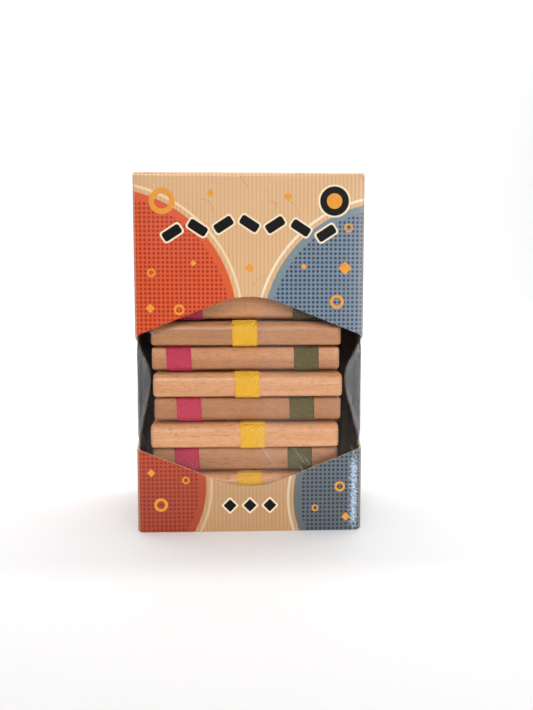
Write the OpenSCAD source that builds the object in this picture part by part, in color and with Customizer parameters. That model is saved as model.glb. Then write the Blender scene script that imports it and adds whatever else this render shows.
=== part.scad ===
// A Jacob's ladder of wooden blocks on three ribbons, stacked in its window carton.
// Millimetres, +Z up, the printed front of the carton faces -Y, origin under the middle of the carton.

/* [Carton] */
// Width of the carton, side to side
box_w = 72; // [64:1:84]
// Depth of the carton, front to back
box_d = 54; // [48:1:64]
// Height of the carton
box_h = 114; // [112:1:140]
// Thickness of the folding boxboard
card = 0.5; // [0.4:0.05:0.6]
// Outside radius of the upright folds
fold_r = 1.2; // [0.8:0.1:1.6]
// Height of the tuck tabs
tab_h = 8.5; // [6:0.5:9]
// Length of the dust flaps, from their fold
flap_len = 22; // [18:1:24]
// Width of the glued strip inside the back
glue_strip = 14; // [10:1:18]
// How far the corners of the strip and the flaps are cut away
corner_cut = 3; // [2:0.5:4]

/* [Window] */
// Height of the middle of the window above the table
window_mid = 45.2; // [42:0.1:50]
// Half height of the window at its rounded top and bottom
window_rise = 30.4; // [26:0.1:32]
// Slope of the four cut edges
window_slope = 0.4; // [0.36:0.01:0.44]
// Radius of the rounded top and bottom
window_top_r = 26; // [20:1:30]
// Radius of the nose of the cut in each side
window_nose_r = 5; // [3:0.5:7]
// Thickness of the clear film
film = 0.25; // [0.15:0.05:0.3]
// Width of the film's glued margin round the cut
film_margin = 5; // [3:0.5:6]

/* [Ladder] */
// Room between the ladder and each side of the carton
side_room = 5.5; // [4.5:0.1:8]
// Room between the carton's front and the blocks
front_room = 3.7; // [3.2:0.1:5]
// Room between the blocks and the carton's back
rear_room = 3.3; // [3.2:0.1:6]
// Thickness of a block
block_t = 7.5; // [6.8:0.1:8]
// Radius of the rounded hinge edges
edge_r = 1.5; // [1:0.1:2.8]
// Radius of the eased sawn ends
end_r = 0.9; // [0.6:0.1:1.2]
// Radius of the upright corners
corner_r = 1.6; // [1:0.1:2.2]
// Gap between two blocks, which holds the ribbons
gap = 0.8; // [0.75:0.05:1]
// Width of the ribbons
ribbon_w = 8; // [6:0.1:9]
// Thickness of the ribbons
ribbon_t = 0.35; // [0.2:0.05:0.35]
// How far out the outer ribbons lie, as a share of half a block's width
outer_share = 0.62; // [0.52:0.01:0.7]
// Length of a glued ribbon end
tail = 10; // [6:1:14]
// How far the blocks lie forward and back in turn
stagger = 1.5; // [0:0.1:1.7]

/* [Hidden] */
$fn = 64;
blocks = 10;
// A block's width along its hinges, and its length from hinge to hinge
block_w = box_w - 2 * side_room;
block_l = box_d - 2 * card - front_room - rear_room;
outer_x = outer_share * block_w / 2;
pitch = block_t + gap;
// Air between two layers of board that move past each other
clear = 0.2;
// Air between faces that are glued or folded together
seat = 0.05;
// Air behind the tuck tab, so that its tip swings past the back panel
tab_air = 1;
// Where the stack stands in the carton
ladder_x = -1.1;
ladder_y = -box_d / 2 + card + front_room + block_l / 2;
ladder_z = 3 * card + 0.5;
// Heights of the closed top: lid above, dust flaps under it
lid_z = box_h - card;
flap_z = lid_z - clear - card;
// How far each block, and each ribbon on it, strays from its place, bottom block first
block_stray = [0, 0.2, -0.2, -0.4, 0.6, 0.6, 0, 0.1, 0, -0.2];
pink_stray = [0, -0.1, -0.2, -0.2, -0.2, -1.4, -2.7, -0.9, 0.9, 0.4];
yellow_stray = [0.6, 1.1, 1.8, 2.5, 1.2, -0.2, -0.4, -0.5, -0.2, 0.2];
green_stray = [-0.8, -1, -1.1, -1.2, -1.3, -0.3, 0.7, 0.5, 0.2, 0];
// Hole shapes reach past the board by this much
past = 2;

// A rectangle about the origin with rounded corners, from squares and circles so that it stays exact
module rounded(w, h, r) {
  square([w - 2 * r, h], center = true);
  square([w, h - 2 * r], center = true);
  for (sx = [-1, 1], sy = [-1, 1])
    translate([sx * (w / 2 - r), sy * (h / 2 - r)])
      circle(r);
}

// Plan of a folded wall whose outer face lies inset from the carton's outside
module wall_plan(inset, thick, r) {
  difference() {
    rounded(box_w - 2 * inset, box_d - 2 * inset, r);
    rounded(box_w - 2 * inset - 2 * thick, box_d - 2 * inset - 2 * thick, max(r - thick, 0.2));
  }
}

// Puts a drawing of X and Z upright, with its thickness along Y from y0 to y1
module upright(y0, y1) {
  translate([0, y1, 0])
    rotate([90, 0, 0])
      linear_extrude(y1 - y0)
        children();
}

// Puts a drawing of Y and Z upright, with its thickness along X from x0 to x1
module sideways(x0, x1) {
  translate([x0, 0, 0])
    rotate([90, 0, 90])
      linear_extrude(x1 - x0)
        children();
}

// Half height of the cut at a distance from the middle of the front, measured round the fold
function window_half(s) = window_rise + window_top_r * (sqrt(1 + pow(window_slope, 2)) - 1) - window_slope * s;

// The part of the cut that lies on the front, as X and Z
module window_front() {
  tangent = window_top_r * window_slope / sqrt(1 + pow(window_slope, 2));
  reach = box_w / 2 + past;
  translate([0, window_mid]) {
    polygon([
      [-reach, -window_half(reach)], [-tangent, -window_half(tangent)],
      [tangent, -window_half(tangent)], [reach, -window_half(reach)],
      [reach, window_half(reach)], [tangent, window_half(tangent)],
      [-tangent, window_half(tangent)], [-reach, window_half(reach)]
    ]);
    for (side = [-1, 1])
      translate([0, side * (window_rise - window_top_r)])
        circle(window_top_r);
  }
}

// Depth behind the front at which the cut's two edges would meet, and the middle of its rounded nose
window_point = window_half(box_w / 2) / window_slope;
nose_mid = window_point - window_nose_r * sqrt(1 + pow(window_slope, 2)) / window_slope;

// The part of the cut that lies on a side, as Y and Z
module window_side() {
  slant = atan(window_slope);
  front = -box_d / 2;
  touch = nose_mid + window_nose_r * sin(slant);
  translate([0, window_mid]) {
    polygon([
      [front - past, -window_half(box_w / 2 - past)], [front + touch, -window_nose_r * cos(slant)],
      [front + touch, window_nose_r * cos(slant)], [front - past, window_half(box_w / 2 - past)]
    ]);
    translate([front + nose_mid, 0])
      circle(window_nose_r);
  }
}

// The four walls of the carton with the window cut out of the front and both sides
module wall(x0, x1, y0, y1, z0, z1) {
  difference() {
    intersection() {
      linear_extrude(box_h)
        wall_plan(0, card, fold_r);
      translate([x0, y0, z0])
        cube([x1 - x0, y1 - y0, z1 - z0]);
    }
    upright(-box_d / 2 - past, -box_d / 2 + fold_r)
      window_front();
    sideways(-box_w / 2 - past, box_w / 2 + past)
      window_side();
  }
}

module front_upper_panel() {
  color("burlywood")
    wall(-box_w / 2 + fold_r, box_w / 2 - fold_r, -box_d / 2, 0, window_mid, lid_z - seat);
}

module front_lower_panel() {
  color("burlywood")
    wall(-box_w / 2 + fold_r, box_w / 2 - fold_r, -box_d / 2, 0, 0, window_mid);
}

module left_side_panel() {
  color("tan")
    wall(-box_w / 2, -box_w / 2 + fold_r, -box_d / 2, box_d / 2, 0, flap_z - seat);
}

module right_side_panel() {
  color("tan")
    wall(box_w / 2 - fold_r, box_w / 2, -box_d / 2, box_d / 2, 0, flap_z - seat);
}

module back_panel() {
  color("burlywood")
    wall(-box_w / 2 + fold_r, box_w / 2 - fold_r, 0, box_d / 2, 0, lid_z + card / 2);
}

// The strip that closes the tube of board, glued inside the back panel
module glue_flap() {
  low = tab_h + corner_cut;
  inner = -box_w / 2 + fold_r;
  color("peru")
    upright(box_d / 2 - 2 * card - seat, box_d / 2 - card - seat)
      polygon([
        [inner, low], [inner + glue_strip, low + corner_cut],
        [inner + glue_strip, lid_z - low - corner_cut], [inner, lid_z - low]
      ]);
}

// Clear film bent round the inside of the front and both sides, glued behind the cut edges
module window_film() {
  reach = nose_mid + window_nose_r + film_margin;
  tall = 2 * (window_rise + film_margin);
  color("lightcyan", 0.4)
    intersection() {
      translate([0, 0, window_mid - tall / 2])
        linear_extrude(tall)
          wall_plan(card + seat, film, 3);
      translate([-box_w / 2, -box_d / 2, 0])
        cube([box_w, reach, box_h]);
    }
}

// A closing panel drawn as Y and Z: a flat plate with its tuck tab turned down over a rounded fold
module tuck_profile(y0, y1, tab) {
  r = 1;
  difference() {
    union() {
      translate([y0, -card])
        square([y1 - r - y0, card]);
      translate([y1 - card, -tab])
        square([card, tab - r]);
      translate([y1 - r, -r])
        circle(r);
    }
    translate([y1 - r, -r])
      circle(r - card);
    translate([y1 - 2 * r - past, -r - past - card])
      square([2 * r + past - card, past + card]);
    translate([y1 - 2 * r - past, -r - card])
      square([r + past, r]);
  }
}

// Outline of a closing panel seen from behind: the full width at its fold, then a narrower, rounded tab
module tuck_outline(half, tab, step) {
  translate([-half, -1])
    square([2 * half, 1 + past]);
  translate([0, -tab / 2])
    rounded(2 * (half - step), tab, 3);
}

// Lid on the front panel's top fold, with a tab that tucks inside the back panel
module top_lid() {
  color("burlywood")
    translate([0, 0, box_h])
      intersection() {
        sideways(-box_w / 2 + clear, box_w / 2 - clear)
          tuck_profile(-box_d / 2, box_d / 2 - card - tab_air, tab_h);
        upright(-box_d / 2 - past, box_d / 2)
          tuck_outline(box_w / 2 - clear, tab_h, 2);
      }
}

// Outline of a dust flap as X and Y from its fold, cut away in front so that it clears the lid
module flap_outline() {
  front = -box_d / 2 + 1;
  rear = box_d / 2 - 2 * card - tab_air - 1;
  polygon([
    [0, front], [flap_len, front + 1.06 * flap_len],
    [flap_len, rear - corner_cut], [flap_len - corner_cut, rear], [0, rear]
  ]);
}

module dust_flap(side, z) {
  mirror([side > 0 ? 1 : 0, 0, 0])
    translate([-box_w / 2, 0, z])
      linear_extrude(card)
        flap_outline();
}

module top_dust_flap_left() {
  color("tan")
    dust_flap(-1, flap_z);
}

module top_dust_flap_right() {
  color("tan")
    dust_flap(1, flap_z);
}

// Bottom panel between the walls, with its tab turned up inside the back panel
module bottom_lid() {
  rear = box_d / 2 - card - seat;
  color("burlywood")
    mirror([0, 0, 1])
      intersection() {
        sideways(-box_w / 2 + card + 2 * clear, box_w / 2 - card - 2 * clear)
          tuck_profile(-box_d / 2 + card + 2 * clear, rear, tab_h);
        upright(-box_d / 2, box_d / 2)
          tuck_outline(box_w / 2 - card - 2 * clear, tab_h, 1);
      }
}

// Bottom flap between a side wall and the middle, lying on the bottom panel
module bottom_flap(side) {
  front = -box_d / 2 + card + clear;
  rear = box_d / 2 - 2 * card - 1;
  mirror([side > 0 ? 1 : 0, 0, 0])
    translate([-box_w / 2 + card + seat, 0, card + clear])
      linear_extrude(card)
        polygon([
          [0, front + 1], [corner_cut, front], [flap_len, front + corner_cut],
          [flap_len, rear - corner_cut], [corner_cut, rear], [0, rear - 1]
        ]);
}

module bottom_dust_flap_left() {
  color("tan")
    bottom_flap(-1);
}

module bottom_dust_flap_right() {
  color("tan")
    bottom_flap(1);
}

// Sets a block or a ribbon in the place of block k, counted from the bottom
module at_block(k) {
  forward = k % 2 == 0 ? stagger : -stagger;
  translate([ladder_x + block_stray[k - 1], ladder_y - forward, ladder_z + (k - 1) * pitch + block_t / 2])
    children();
}

// A flat block with round hinge edges and eased ends
module block(k) {
  color("navajowhite")
    at_block(k)
      intersection() {
        sideways(-block_w / 2, block_w / 2)
          rounded(block_l, block_t, edge_r);
        upright(-block_l / 2, block_l / 2)
          rounded(block_w, block_t, end_r);
        translate([0, 0, -block_t / 2])
          linear_extrude(block_t)
            rounded(block_w, block_l, corner_r);
      }
}

// Ribbon on one block, as Y and Z: round its whole front end, then along the top for a length
module ribbon_profile(run) {
  intersection() {
    difference() {
      rounded(block_l + 2 * ribbon_t, block_t + 2 * ribbon_t, edge_r + ribbon_t);
      rounded(block_l + 2 * seat, block_t + 2 * seat, edge_r + seat);
    }
    union() {
      translate([-block_l / 2 - past, -block_t / 2 - past])
        square([edge_r + past, block_t + 2 * past]);
      translate([-block_l / 2, 0])
        square([edge_r + run, block_t / 2 + past]);
    }
  }
}

full_run = block_l - 2 * edge_r;

// A ribbon in its place on block k, round its front or rear end and along its top or underside
module ribbon(k, x, front, top, run) {
  at_block(k)
    translate([x, 0, 0])
      mirror([0, front ? 0 : 1, 0])
        mirror([0, 0, top ? 0 : 1])
          sideways(-ribbon_w / 2, ribbon_w / 2)
            ribbon_profile(run);
}

// The outer ribbons take the front end of every odd block, and the middle one that of every even block
module pink_ribbon(k) {
  color("crimson")
    ribbon(k, -outer_x + pink_stray[k - 1], k % 2 == 1, false, k == 1 ? tail : full_run);
}

module green_ribbon(k) {
  color("darkolivegreen")
    ribbon(k, outer_x + green_stray[k - 1], k % 2 == 1, false, k == 1 ? tail : full_run);
}

module yellow_ribbon(k) {
  color("goldenrod")
    ribbon(k, yellow_stray[k - 1], k % 2 == 0, true, k == blocks ? tail : full_run);
}

front_upper_panel();
front_lower_panel();
left_side_panel();
right_side_panel();
back_panel();
glue_flap();
window_film();
top_lid();
top_dust_flap_left();
top_dust_flap_right();
bottom_lid();
bottom_dust_flap_left();
bottom_dust_flap_right();

// Two digits of a block's number, as its nodes are named
function number(k) = str(k < 10 ? "0" : "", k);

for (k = [1:blocks]) {
  block(k);
  pink_ribbon(k);
  yellow_ribbon(k);
  green_ribbon(k);
}
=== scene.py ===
"""A Jacob's ladder toy stacked in its window carton: looks, studio and camera.

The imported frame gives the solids, bodies and joints. Each class below dresses one sub-assembly of it.
"""
import logging
import math
from dataclasses import dataclass, field
from enum import Enum
from functools import partial
from typing import Any, Callable, NamedTuple, Sequence

import bmesh
import bpy
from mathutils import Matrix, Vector, noise


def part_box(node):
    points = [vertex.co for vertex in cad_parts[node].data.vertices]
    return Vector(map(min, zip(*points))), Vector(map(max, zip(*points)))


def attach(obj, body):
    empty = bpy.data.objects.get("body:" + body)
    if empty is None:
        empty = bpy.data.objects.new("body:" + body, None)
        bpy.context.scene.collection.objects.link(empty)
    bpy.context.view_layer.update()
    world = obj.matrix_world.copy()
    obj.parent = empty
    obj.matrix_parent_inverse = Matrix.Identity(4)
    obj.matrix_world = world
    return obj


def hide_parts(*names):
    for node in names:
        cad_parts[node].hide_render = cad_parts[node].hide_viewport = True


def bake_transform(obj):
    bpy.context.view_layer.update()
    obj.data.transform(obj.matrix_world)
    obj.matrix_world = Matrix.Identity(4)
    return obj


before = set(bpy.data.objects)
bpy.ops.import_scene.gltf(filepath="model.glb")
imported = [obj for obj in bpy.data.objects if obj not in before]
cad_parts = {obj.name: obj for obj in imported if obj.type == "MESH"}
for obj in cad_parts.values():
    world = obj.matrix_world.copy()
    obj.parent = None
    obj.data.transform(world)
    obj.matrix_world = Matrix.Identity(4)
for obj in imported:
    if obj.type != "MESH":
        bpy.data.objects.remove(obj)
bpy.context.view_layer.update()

LOG = logging.getLogger("jacobs_ladder")
MM = 0.001
PER_MM = 1 / MM
BLOCKS = 10
QUADRANTS = ((1, 1), (-1, 1), (-1, -1), (1, -1))

Spot = tuple[float, float]
Point = tuple[float, float, float]
Adder = Callable[..., bpy.types.Node]


# Helpers


def linear(code: str) -> tuple[float, float, float, float]:
    """Turns an sRGB hex colour to linear light.

    Args:
        code: Six hex digits after a hash sign.

    Returns:
        Red, green, blue and an alpha of one.
    """
    parts = [int(code[i:i + 2], 16) / 255 for i in (1, 3, 5)]
    light = [c / 12.92 if c <= 0.04045 else ((c + 0.055) / 1.055) ** 2.4 for c in parts]
    return light[0], light[1], light[2], 1.0


def quarter(steps: int) -> list[Spot]:
    """Lists the cosine and sine of a quarter turn in even steps.

    Args:
        steps: Number of steps.

    Returns:
        One pair more than there are steps.
    """
    turns = [math.pi / 2 * i / steps for i in range(steps + 1)]
    return [(math.cos(turn), math.sin(turn)) for turn in turns]


def clamp(value: float) -> float:
    """Keeps a share between nothing and one."""
    return min(max(value, 0.0), 1.0)


def add(
    tree: bpy.types.NodeTree, kind: str, inputs: dict[Any, Any] | None = None, **settings: Any
) -> bpy.types.Node:
    """Adds a node to a tree.

    Args:
        tree: The shader or geometry tree.
        kind: The node's type name.
        inputs: What goes into each input, by the input's name or number: a value, another node's socket, or
            another node, whose first live output is then linked.
        settings: The node's own settings.

    Returns:
        The new node.
    """
    node = tree.nodes.new(kind)
    for name, value in settings.items():
        setattr(node, name, value)
    for key, value in (inputs or {}).items():
        if isinstance(value, bpy.types.Node):
            value = next(socket for socket in value.outputs if socket.enabled)
        if isinstance(value, bpy.types.NodeSocket):
            tree.links.new(value, node.inputs[key])
        else:
            node.inputs[key].default_value = value
    return node


def new_material(name: str) -> tuple[bpy.types.Material, Adder]:
    """Makes an empty node material.

    Args:
        name: The real material's name.

    Returns:
        The material, and the function that adds nodes to its tree.
    """
    material = bpy.data.materials.new(name)
    material.use_nodes = True
    material.node_tree.nodes.clear()
    return material, partial(add, material.node_tree)


def new_group(name: str, inputs: dict[str, str]) -> tuple[bpy.types.NodeTree, Adder]:
    """Makes an empty geometry tree that takes and gives a geometry.

    Args:
        name: The tree's name.
        inputs: The socket type of each further input, by its name.

    Returns:
        The tree, and the function that adds nodes to it.
    """
    group = bpy.data.node_groups.new(name, "GeometryNodeTree")
    group.interface.new_socket("Geometry", in_out="INPUT", socket_type="NodeSocketGeometry")
    for label, kind in inputs.items():
        group.interface.new_socket(label, in_out="INPUT", socket_type=kind)
    group.interface.new_socket("Geometry", in_out="OUTPUT", socket_type="NodeSocketGeometry")
    return group, partial(add, group)


def run_group(
    name: str, mesh: bpy.types.Mesh, group: bpy.types.NodeTree, inputs: dict[str, Any]
) -> bpy.types.Object:
    """Runs a geometry tree on a mesh and turns what it makes into a plain piece.

    Args:
        name: The finished piece's name.
        mesh: The points or lines that the tree starts from.
        group: The tree.
        inputs: The value of each further input, by its name.

    Returns:
        The finished piece, linked to the scene.
    """
    carrier = bpy.data.objects.new(f"{name}_source", mesh)
    bpy.context.scene.collection.objects.link(carrier)
    modifier = carrier.modifiers.new("nodes", "NODES")
    modifier.node_group = group
    sockets = {item.name: item.identifier for item in group.interface.items_tree if item.in_out == "INPUT"}
    for label, value in inputs.items():
        modifier[sockets[label]] = value
    bpy.context.view_layer.update()
    evaluated = carrier.evaluated_get(bpy.context.evaluated_depsgraph_get())
    result = bpy.data.meshes.new_from_object(evaluated)
    result.name = name
    bpy.data.objects.remove(carrier)
    piece = bpy.data.objects.new(name, result)
    bpy.context.scene.collection.objects.link(piece)
    return piece


def mesh_piece(
    name: str,
    points: Sequence[Point],
    faces: Sequence[Sequence[int]],
    materials: Sequence[bpy.types.Material],
    slots: Sequence[int] | None = None,
    uv: Sequence[Spot] | None = None,
    sharp: float = 35.0,
) -> bpy.types.Object:
    """Makes a piece from points in millimetres.

    Args:
        name: The piece's name.
        points: Corner points in the part's frame, in millimetres.
        faces: Corner numbers of each face, seen anticlockwise from outside.
        materials: The piece's material slots.
        slots: Each face's slot. Without it, all take the first.
        uv: Flat place of each point, in millimetres of the unfolded sheet.
        sharp: Edges that turn by more than this many degrees stay crisp.

    Returns:
        The object, linked to the scene, with its place in its mesh.
    """
    mesh = bpy.data.meshes.new(name)
    mesh.from_pydata([(x * MM, y * MM, z * MM) for x, y, z in points], [], faces)
    for material in materials:
        mesh.materials.append(material)
    if slots:
        mesh.polygons.foreach_set("material_index", slots)
    if uv:
        layer = mesh.uv_layers.new(name="blank")
        for loop, spot in zip(mesh.loops, layer.data):
            spot.uv = uv[loop.vertex_index]
    mesh.polygons.foreach_set("use_smooth", [True] * len(faces))
    mesh.set_sharp_from_angle(angle=math.radians(sharp))
    piece = bpy.data.objects.new(name, mesh)
    bpy.context.scene.collection.objects.link(piece)
    return piece


def sheet_faces(rows: int, across: int) -> tuple[list[list[int]], list[int]]:
    """Lists the faces of a thin sheet whose outer and inner faces are grids of points, row after row.

    Args:
        rows: Number of rows.
        across: Points in a row.

    Returns:
        The faces, and the slot of each: 0 outside, 1 inside and 2 round the rim.
    """
    size, last = rows * across, (rows - 1) * across
    faces: list[list[int]] = []
    slots: list[int] = []
    for n in range(rows - 1):
        for i in range(across - 1):
            a = n * across + i
            quad = [a, a + 1, a + across + 1, a + across]
            faces += [quad, [size + q for q in reversed(quad)]]
            slots += [0, 1]
    rim = list(range(across)) + [n * across + across - 1 for n in range(1, rows)]
    rim += [last + i for i in range(across - 2, -1, -1)] + [n * across for n in range(rows - 2, 0, -1)]
    faces += [[b, a, size + a, size + b] for a, b in zip(rim, rim[1:] + rim[:1])]
    slots += [2] * len(rim)
    return faces, slots


def settle(piece: bpy.types.Object, slot: str, body: str, *nodes: str) -> bpy.types.Object:
    """Lets a piece ride on a body, in place of its solids.

    Args:
        piece: The piece.
        slot: The name of a material slot. It is not used.
        body: The body that carries it.
        nodes: The solids that it stands for.

    Returns:
        The same piece.
    """
    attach(piece, body)
    if nodes:
        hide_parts(*nodes)
    return piece


# Finishes


class Blank(NamedTuple):
    """What the layers of the print read at a spot of the unfolded sheet, whose UV map is in millimetres."""

    node: Adder
    place: bpy.types.Node
    across: bpy.types.NodeSocket
    up: bpy.types.NodeSocket
    fibre: bpy.types.Node
    faded: bpy.types.Node


@dataclass(frozen=True)
class PrintedBoard:
    """Folding boxboard, offset printed with a kraft look and gloss laminated. Sizes in millimetres.

    The eye sees fine upright kraft stripes, two fields of dotted colour with a pale line round them, a few
    hairline wrinkles, rubbed folds and an even gloss, with a painted speckled glare beside the lower right
    fold.
    """

    stripe: float = 1.23
    dot_pitch: float = 1.38
    left_discs: tuple[Point, ...] = ((-45.0, 68.0, 41.0), (-45.0, 15.0, 31.0))
    right_discs: tuple[Point, ...] = ((45.0, 64.0, 41.0), (45.0, 11.0, 31.0))
    line_out: float = 1.7
    line_half: float = 0.4
    dots_in: float = 2.2
    fold: float = 36.0
    fold_half: float = 0.7
    # Middle of the band beside the lower right fold where a glare is painted
    glare_across: float = 33.5
    glare_up: float = 12.5

    # Marks per millimetre. Paper fibres and orange peel are too fine to show and are drawn coarser
    fibres: float = 0.9
    peel: float = 1.6
    speckles: float = 1.3
    patches: float = 0.11
    wrinkles: float = 0.06
    clouds: float = 0.045

    def kraft(self, blank: Blank) -> bpy.types.Node:
        """Draws the brown ground: uneven upright stripes, paper fibres and soft clouds.

        Args:
            blank: The spot of the sheet.

        Returns:
            The ground's colour.
        """
        node = blank.node
        turn = node("ShaderNodeMath", {0: blank.across, 1: 2 * math.pi / self.stripe}, operation="MULTIPLY")
        wave = node("ShaderNodeMath", {0: turn}, operation="SINE")
        uneven = node("ShaderNodeMath", {0: wave, 1: blank.faded}, operation="MULTIPLY")
        band = node("ShaderNodeMath", {0: uneven, 1: 1.1, 2: 0.5}, operation="MULTIPLY_ADD", use_clamp=True)
        tone = node("ShaderNodeMix", {0: band, 6: linear("#CC9C69"), 7: linear("#DCB183")}, data_type="RGBA")
        fleck = node("ShaderNodeMath", {0: blank.fibre, 1: 0.28}, operation="MULTIPLY")
        tone = node("ShaderNodeMix", {0: fleck, 6: tone, 7: linear("#B98650")}, data_type="RGBA")
        cloud = node("ShaderNodeTexNoise", {"Vector": blank.place, "Scale": self.clouds, "Detail": 3.0})
        pale = node("ShaderNodeMath", {0: cloud, 1: 0.25}, operation="MULTIPLY")
        return node("ShaderNodeMix", {0: pale, 6: tone, 7: linear("#E8C9A0")}, data_type="RGBA")

    def dots(self, blank: Blank) -> bpy.types.Node:
        """Draws the square screen of dots.

        Args:
            blank: The spot of the sheet.

        Returns:
            One in a dot and zero between the dots.
        """
        node = blank.node
        grid = node("ShaderNodeVectorMath", {0: blank.place, "Scale": 1 / self.dot_pitch}, operation="SCALE")
        cell = node("ShaderNodeVectorMath", {0: grid}, operation="FRACTION")
        off = node("ShaderNodeVectorMath", {0: cell, 1: (0.5, 0.5, 0)}, operation="SUBTRACT")
        reach = node("ShaderNodeVectorMath", {0: off}, operation="LENGTH")
        return node("ShaderNodeMath", {0: reach, 1: -9.0, 2: 3.5}, operation="MULTIPLY_ADD", use_clamp=True)

    def outside(self, blank: Blank, discs: Sequence[Point]) -> bpy.types.Node:
        """Measures how far a spot lies outside the nearest disc.

        Args:
            blank: The spot of the sheet.
            discs: Middle and radius of each disc.

        Returns:
            A distance in millimetres, negative inside.
        """
        node, found = blank.node, None
        for across, up, radius in discs:
            far = node("ShaderNodeVectorMath", {0: blank.place, 1: (across, up, 0)}, operation="DISTANCE")
            edge = node("ShaderNodeMath", {0: far, 1: radius}, operation="SUBTRACT")
            found = node("ShaderNodeMath", {0: found, 1: edge}, operation="MINIMUM") if found else edge
        return found

    def colours(self, blank: Blank, ground: bpy.types.Node, deep: bpy.types.Node) -> bpy.types.Node:
        """Prints the two dotted fields of colour, with the pale line round each.

        Args:
            blank: The spot of the sheet.
            ground: The colour under them.
            deep: How much painted shade darkens it there.

        Returns:
            The printed colour.
        """
        node, shown, dot = blank.node, ground, self.dots(blank)
        stain = node("ShaderNodeMath", {0: blank.fibre, 1: 0.2}, operation="MULTIPLY")
        for discs, ink, dark, pale in (
            (self.left_discs, "#D8561F", "#A81E06", "#EBC9A2"),
            (self.right_discs, "#78878D", "#063060", "#EBD9BE"),
        ):
            edge = self.outside(blank, discs)
            line = node("ShaderNodeMath", {0: edge, 1: self.line_out, 2: self.line_half}, operation="COMPARE")
            shown = node("ShaderNodeMix", {0: line, 6: shown, 7: linear(pale)}, data_type="RGBA")
            tone = node("ShaderNodeMix", {0: stain, 6: linear(ink), 7: linear(dark)}, data_type="RGBA")
            inside = node("ShaderNodeMath", {0: edge, 1: -self.dots_in}, operation="LESS_THAN")
            dotted = node("ShaderNodeMath", {0: dot, 1: inside}, operation="MULTIPLY")
            tone = node("ShaderNodeMix", {0: dotted, 6: tone, 7: linear(dark)}, data_type="RGBA")
            # Painted shade: the colour fields are darkened further towards the bottom
            tone = node(
                "ShaderNodeMix", {0: deep, 6: tone, 7: linear("#E4DEDA")},
                data_type="RGBA", blend_type="MULTIPLY",
            )
            within = node(
                "ShaderNodeMath", {0: edge, 1: -6.0, 2: 0.5}, operation="MULTIPLY_ADD", use_clamp=True
            )
            shown = node("ShaderNodeMix", {0: within, 6: shown, 7: tone}, data_type="RGBA")
        return shown

    def wear(self, blank: Blank, printed: bpy.types.Node) -> bpy.types.Node:
        """Rubs the upright folds and draws the hairlines where the laminate has wrinkled.

        Args:
            blank: The spot of the sheet.
            printed: The colour under them.

        Returns:
            The worn colour.
        """
        node = blank.node
        out = node("ShaderNodeMath", {0: blank.across}, operation="ABSOLUTE")
        upright = node("ShaderNodeMath", {0: out, 1: self.fold, 2: self.fold_half}, operation="COMPARE")
        thin = node("ShaderNodeMath", {0: blank.fibre, 1: 0.55}, operation="MULTIPLY")
        rub = node("ShaderNodeMath", {0: upright, 1: thin}, operation="MULTIPLY")
        shown = node("ShaderNodeMix", {0: rub, 6: printed, 7: linear("#EFD2B4")}, data_type="RGBA")
        crack = node("ShaderNodeTexNoise", {
            "Vector": blank.place, "Scale": self.wrinkles, "Detail": 0.6, "Distortion": 0.5,
        })
        hair = node("ShaderNodeMath", {0: crack, 1: 0.56, 2: 0.0022}, operation="COMPARE")
        worn = node("ShaderNodeMath", {0: blank.faded, 1: 0.5}, operation="GREATER_THAN")
        hair = node("ShaderNodeMath", {0: hair, 1: worn}, operation="MULTIPLY")
        faint = node("ShaderNodeMath", {0: hair, 1: 0.3}, operation="MULTIPLY")
        return node("ShaderNodeMix", {0: faint, 6: shown, 7: linear("#8A6238")}, data_type="RGBA")

    def find_scuffs_and_painted_sheen(self, blank: Blank) -> bpy.types.Node:
        """Finds the speckled band beside the lower right fold where a glare is painted and the laminate is
        rougher.

        Args:
            blank: The spot of the sheet.

        Returns:
            The share of the surface that carries the painted glare.
        """
        node = blank.node
        bands = []
        for place, middle, slope, height in (
            (blank.across, self.glare_across, -0.34, 1.05), (blank.up, self.glare_up, -0.09, 1.75),
        ):
            off = node("ShaderNodeMath", {0: place, 1: middle}, operation="SUBTRACT")
            off = node("ShaderNodeMath", {0: off}, operation="ABSOLUTE")
            bands.append(node(
                "ShaderNodeMath", {0: off, 1: slope, 2: height}, operation="MULTIPLY_ADD", use_clamp=True
            ))
        glare_place = node("ShaderNodeMath", {0: bands[0], 1: bands[1]}, operation="MULTIPLY")
        blotch = node("ShaderNodeTexNoise", {
            "Vector": blank.place, "Scale": self.speckles, "Detail": 3.0, "Roughness": 0.6,
        })
        speckle = node("ShaderNodeMath", {0: blotch, 1: 2.0, 2: glare_place}, operation="MULTIPLY_ADD")
        return node("ShaderNodeMath", {0: speckle, 1: 1.5, 2: -2.3}, operation="MULTIPLY_ADD", use_clamp=True)

    def build(self) -> bpy.types.Material:
        """Builds the material on the sheet's own UV map.

        Returns:
            The material.
        """
        material, node = new_material("laminated_printed_boxboard")
        place = node("ShaderNodeUVMap", uv_map="blank")
        flat = node("ShaderNodeSeparateXYZ", {0: place})
        fibre = node("ShaderNodeTexNoise", {
            "Vector": place, "Scale": self.fibres, "Detail": 5.0, "Roughness": 0.7,
        })
        faded = node("ShaderNodeTexNoise", {"Vector": place, "Scale": self.patches, "Detail": 3.0})
        blank = Blank(node, place, flat.outputs[0], flat.outputs[1], fibre, faded)
        # Painted shade: the board is darkened from half height towards the bottom, and the colours more than
        # the kraft
        deep = node("ShaderNodeMapRange", {0: blank.up, 1: 50.0, 2: 12.0, 3: 0.0, 4: 1.0})
        shown = self.wear(blank, self.colours(blank, self.kraft(blank), deep))
        shown = node(
            "ShaderNodeMix", {0: deep, 6: shown, 7: linear("#DFDAD4")},
            data_type="RGBA", blend_type="MULTIPLY",
        )
        scuff_and_painted_sheen = self.find_scuffs_and_painted_sheen(blank)
        # Painted glare: the speckled band is lightened to pale blue, as a lamp's reflection would light it
        painted_glare = node("ShaderNodeMath", {0: scuff_and_painted_sheen, 1: 0.9}, operation="MULTIPLY")
        shown = node("ShaderNodeMix", {0: painted_glare, 6: shown, 7: linear("#C4DAF4")}, data_type="RGBA")
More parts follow.
